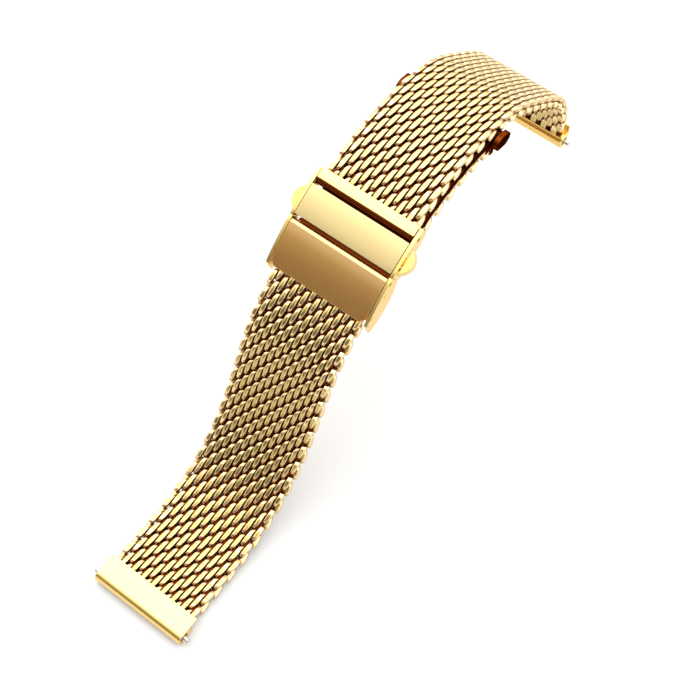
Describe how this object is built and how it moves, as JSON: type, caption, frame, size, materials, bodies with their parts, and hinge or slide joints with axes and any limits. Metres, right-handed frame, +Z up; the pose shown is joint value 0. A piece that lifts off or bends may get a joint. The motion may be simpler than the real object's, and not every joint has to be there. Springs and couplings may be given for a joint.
{
  "type": "milanese mesh watch band",
  "caption": "Woven metal mesh watch band with a fold-over push-button clasp, a length adjuster lid, a mesh tail and spring bars at both lug ends.",
  "frame": {"origin": "middle of the band's outline in X and Y, on the surface that the lower lug end stands on", "axes": "+X along the band from the lower lug end to the hanging one, +Y across it to the left push-button, +Z up"},
  "size_m": [0.1206, 0.0246, 0.0543],
  "materials": {
    "woven_mesh": "gold-toned stainless wire, woven and rolled flat",
    "gold_fittings": "gold-toned stainless steel, satin",
    "satin_plate": "pale gold satin",
    "polished_lid": "darker polished gold tone",
    "pin_steel": "gold-toned steel",
    "spring_wire": "bare spring steel"
  },
  "bodies": {
    "clasp_base": {"adjuster_frame": "gold_fittings", "adjuster_lid_pin": "pin_steel", "base_blade": "gold_fittings", "blade_hinge_pin": "pin_steel", "catch_post_left": "gold_fittings", "catch_post_right": "gold_fittings", "clasp_mesh": "woven_mesh"},
    "adjuster_lid": {"adjuster_lid": "polished_lid", "clamp_bar": "gold_fittings"},
    "fold_blade": {"fold_blade": "gold_fittings"},
    "head": {"head_frame": "gold_fittings", "head_cover_plate": "satin_plate", "head_hinge_pin": "pin_steel", "strap_end_pin": "pin_steel", "button_spring_left": "spring_wire", "button_spring_right": "spring_wire"},
    "button_left": {"push_button_left": "gold_fittings", "latch_left": "gold_fittings"},
    "button_right": {"push_button_right": "gold_fittings", "latch_right": "gold_fittings"},
    "tail": {"tail_mesh": "woven_mesh", "tail_end_strip": "gold_fittings"},
    "strap_end": {"strap_end_bar": "gold_fittings", "upper_mesh_1": "woven_mesh"},
    "upper_mesh_2": {"upper_mesh_2": "woven_mesh"},
    "upper_mesh_3": {"upper_mesh_3": "woven_mesh"},
    "upper_mesh_4": {"upper_mesh_4": "woven_mesh"},
    "upper_mesh_5": {"upper_mesh_5": "woven_mesh", "upper_lug_end": "gold_fittings", "upper_spring_bar_tube": "pin_steel", "upper_spring_bar_coil": "spring_wire"},
    "lower_mesh_5": {"lower_mesh_5": "woven_mesh"},
    "lower_mesh_4": {"lower_mesh_4": "woven_mesh"},
    "lower_mesh_3": {"lower_mesh_3": "woven_mesh"},
    "lower_mesh_2": {"lower_mesh_2": "woven_mesh"},
    "lower_mesh_1": {"lower_mesh_1": "woven_mesh", "lower_lug_end": "gold_fittings", "lower_spring_bar_tube": "pin_steel", "lower_spring_bar_coil": "spring_wire"},
    "lower_tip_left": {"lower_spring_bar_tip_left": "pin_steel"},
    "lower_tip_right": {"lower_spring_bar_tip_right": "pin_steel"},
    "upper_tip_left": {"upper_spring_bar_tip_left": "pin_steel"},
    "upper_tip_right": {"upper_spring_bar_tip_right": "pin_steel"}
  },
  "joints": [
    {"name": "lower_flex_5", "type": "hinge", "parent": "clasp_base", "child": "lower_mesh_5", "pos_m": [-0.01421, 0, 0.031], "axis": [0, 1, 0], "range_deg": [-15, 15]},
    {"name": "lower_flex_4", "type": "hinge", "parent": "lower_mesh_5", "child": "lower_mesh_4", "pos_m": [-0.01936, 0, 0.02165], "axis": [0, 1, 0], "range_deg": [-15, 15]},
    {"name": "lower_flex_3", "type": "hinge", "parent": "lower_mesh_4", "child": "lower_mesh_3", "pos_m": [-0.02517, 0, 0.01234], "axis": [0, 1, 0], "range_deg": [-15, 15]},
    {"name": "lower_flex_2", "type": "hinge", "parent": "lower_mesh_3", "child": "lower_mesh_2", "pos_m": [-0.0335, 0, 0.00494], "axis": [0, 1, 0], "range_deg": [-15, 15]},
    {"name": "lower_flex_1", "type": "hinge", "parent": "lower_mesh_2", "child": "lower_mesh_1", "pos_m": [-0.0442, 0, 0.00177], "axis": [0, 1, 0], "range_deg": [-15, 15]},
    {"name": "tail_flex", "type": "hinge", "parent": "clasp_base", "child": "tail", "pos_m": [0.01742, 0, 0.04863], "axis": [0, 1, 0], "range_deg": [0, 15]},
    {"name": "lid_hinge", "type": "hinge", "parent": "clasp_base", "child": "adjuster_lid", "pos_m": [-0.00066, 0, 0.04549], "axis": [0, 1, 0], "range_deg": [0, 75]},
    {"name": "blade_hinge", "type": "hinge", "parent": "clasp_base", "child": "fold_blade", "pos_m": [0.03223, 0, 0.05001], "axis": [0, 1, 0], "range_deg": [0, 165]},
    {"name": "head_hinge", "type": "hinge", "parent": "fold_blade", "child": "head", "pos_m": [0.00227, 0, 0.04611], "axis": [0, 1, 0], "range_deg": [-165, 0]},
    {"name": "strap_end_hinge", "type": "hinge", "parent": "head", "child": "strap_end", "pos_m": [0.00685, 0, 0.04966], "axis": [0, -1, 0], "range_deg": [0, 30]},
    {"name": "upper_flex_1", "type": "hinge", "parent": "strap_end", "child": "upper_mesh_2", "pos_m": [0.02046, 0, 0.05315], "axis": [0, -1, 0], "range_deg": [0, 20]},
    {"name": "upper_flex_2", "type": "hinge", "parent": "upper_mesh_2", "child": "upper_mesh_3", "pos_m": [0.03435, 0, 0.05172], "axis": [0, -1, 0], "range_deg": [-20, 20]},
    {"name": "upper_flex_3", "type": "hinge", "parent": "upper_mesh_3", "child": "upper_mesh_4", "pos_m": [0.04475, 0, 0.04558], "axis": [0, -1, 0], "range_deg": [-20, 20]},
    {"name": "upper_flex_4", "type": "hinge", "parent": "upper_mesh_4", "child": "upper_mesh_5", "pos_m": [0.05511, 0, 0.03605], "axis": [0, -1, 0], "range_deg": [-20, 20]},
    {"name": "button_press_left", "type": "slide", "parent": "head", "child": "button_left", "axis": [0, -1, 0], "range_m": [0, 0.0004], "stiffness_N_per_m": 800, "springref_m": -0.0005, "deforming": ["button_spring_left"]},
    {"name": "button_press_right", "type": "slide", "parent": "head", "child": "button_right", "axis": [0, 1, 0], "range_m": [0, 0.0004], "stiffness_N_per_m": 800, "springref_m": -0.0005, "deforming": ["button_spring_right"]},
    {"name": "lower_tip_press_left", "type": "slide", "parent": "lower_mesh_1", "child": "lower_tip_left", "axis": [0, -1, 0], "range_m": [0, 0.0008], "stiffness_N_per_m": 500, "springref_m": -0.0008, "deforming": ["lower_spring_bar_coil"]},
    {"name": "lower_tip_press_right", "type": "slide", "parent": "lower_mesh_1", "child": "lower_tip_right", "axis": [0, 1, 0], "range_m": [0, 0.0008], "stiffness_N_per_m": 500, "springref_m": -0.0008, "deforming": ["lower_spring_bar_coil"]},
    {"name": "upper_tip_press_left", "type": "slide", "parent": "upper_mesh_5", "child": "upper_tip_left", "axis": [0, -1, 0], "range_m": [0, 0.0008], "stiffness_N_per_m": 500, "springref_m": -0.0008, "deforming": ["upper_spring_bar_coil"]},
    {"name": "upper_tip_press_right", "type": "slide", "parent": "upper_mesh_5", "child": "upper_tip_right", "axis": [0, 1, 0], "range_m": [0, 0.0008], "stiffness_N_per_m": 500, "springref_m": -0.0008, "deforming": ["upper_spring_bar_coil"]}
  ],
  "couplings": [
    {"joint": "head_hinge", "follows": "blade_hinge", "ratio": -1}
  ]
}
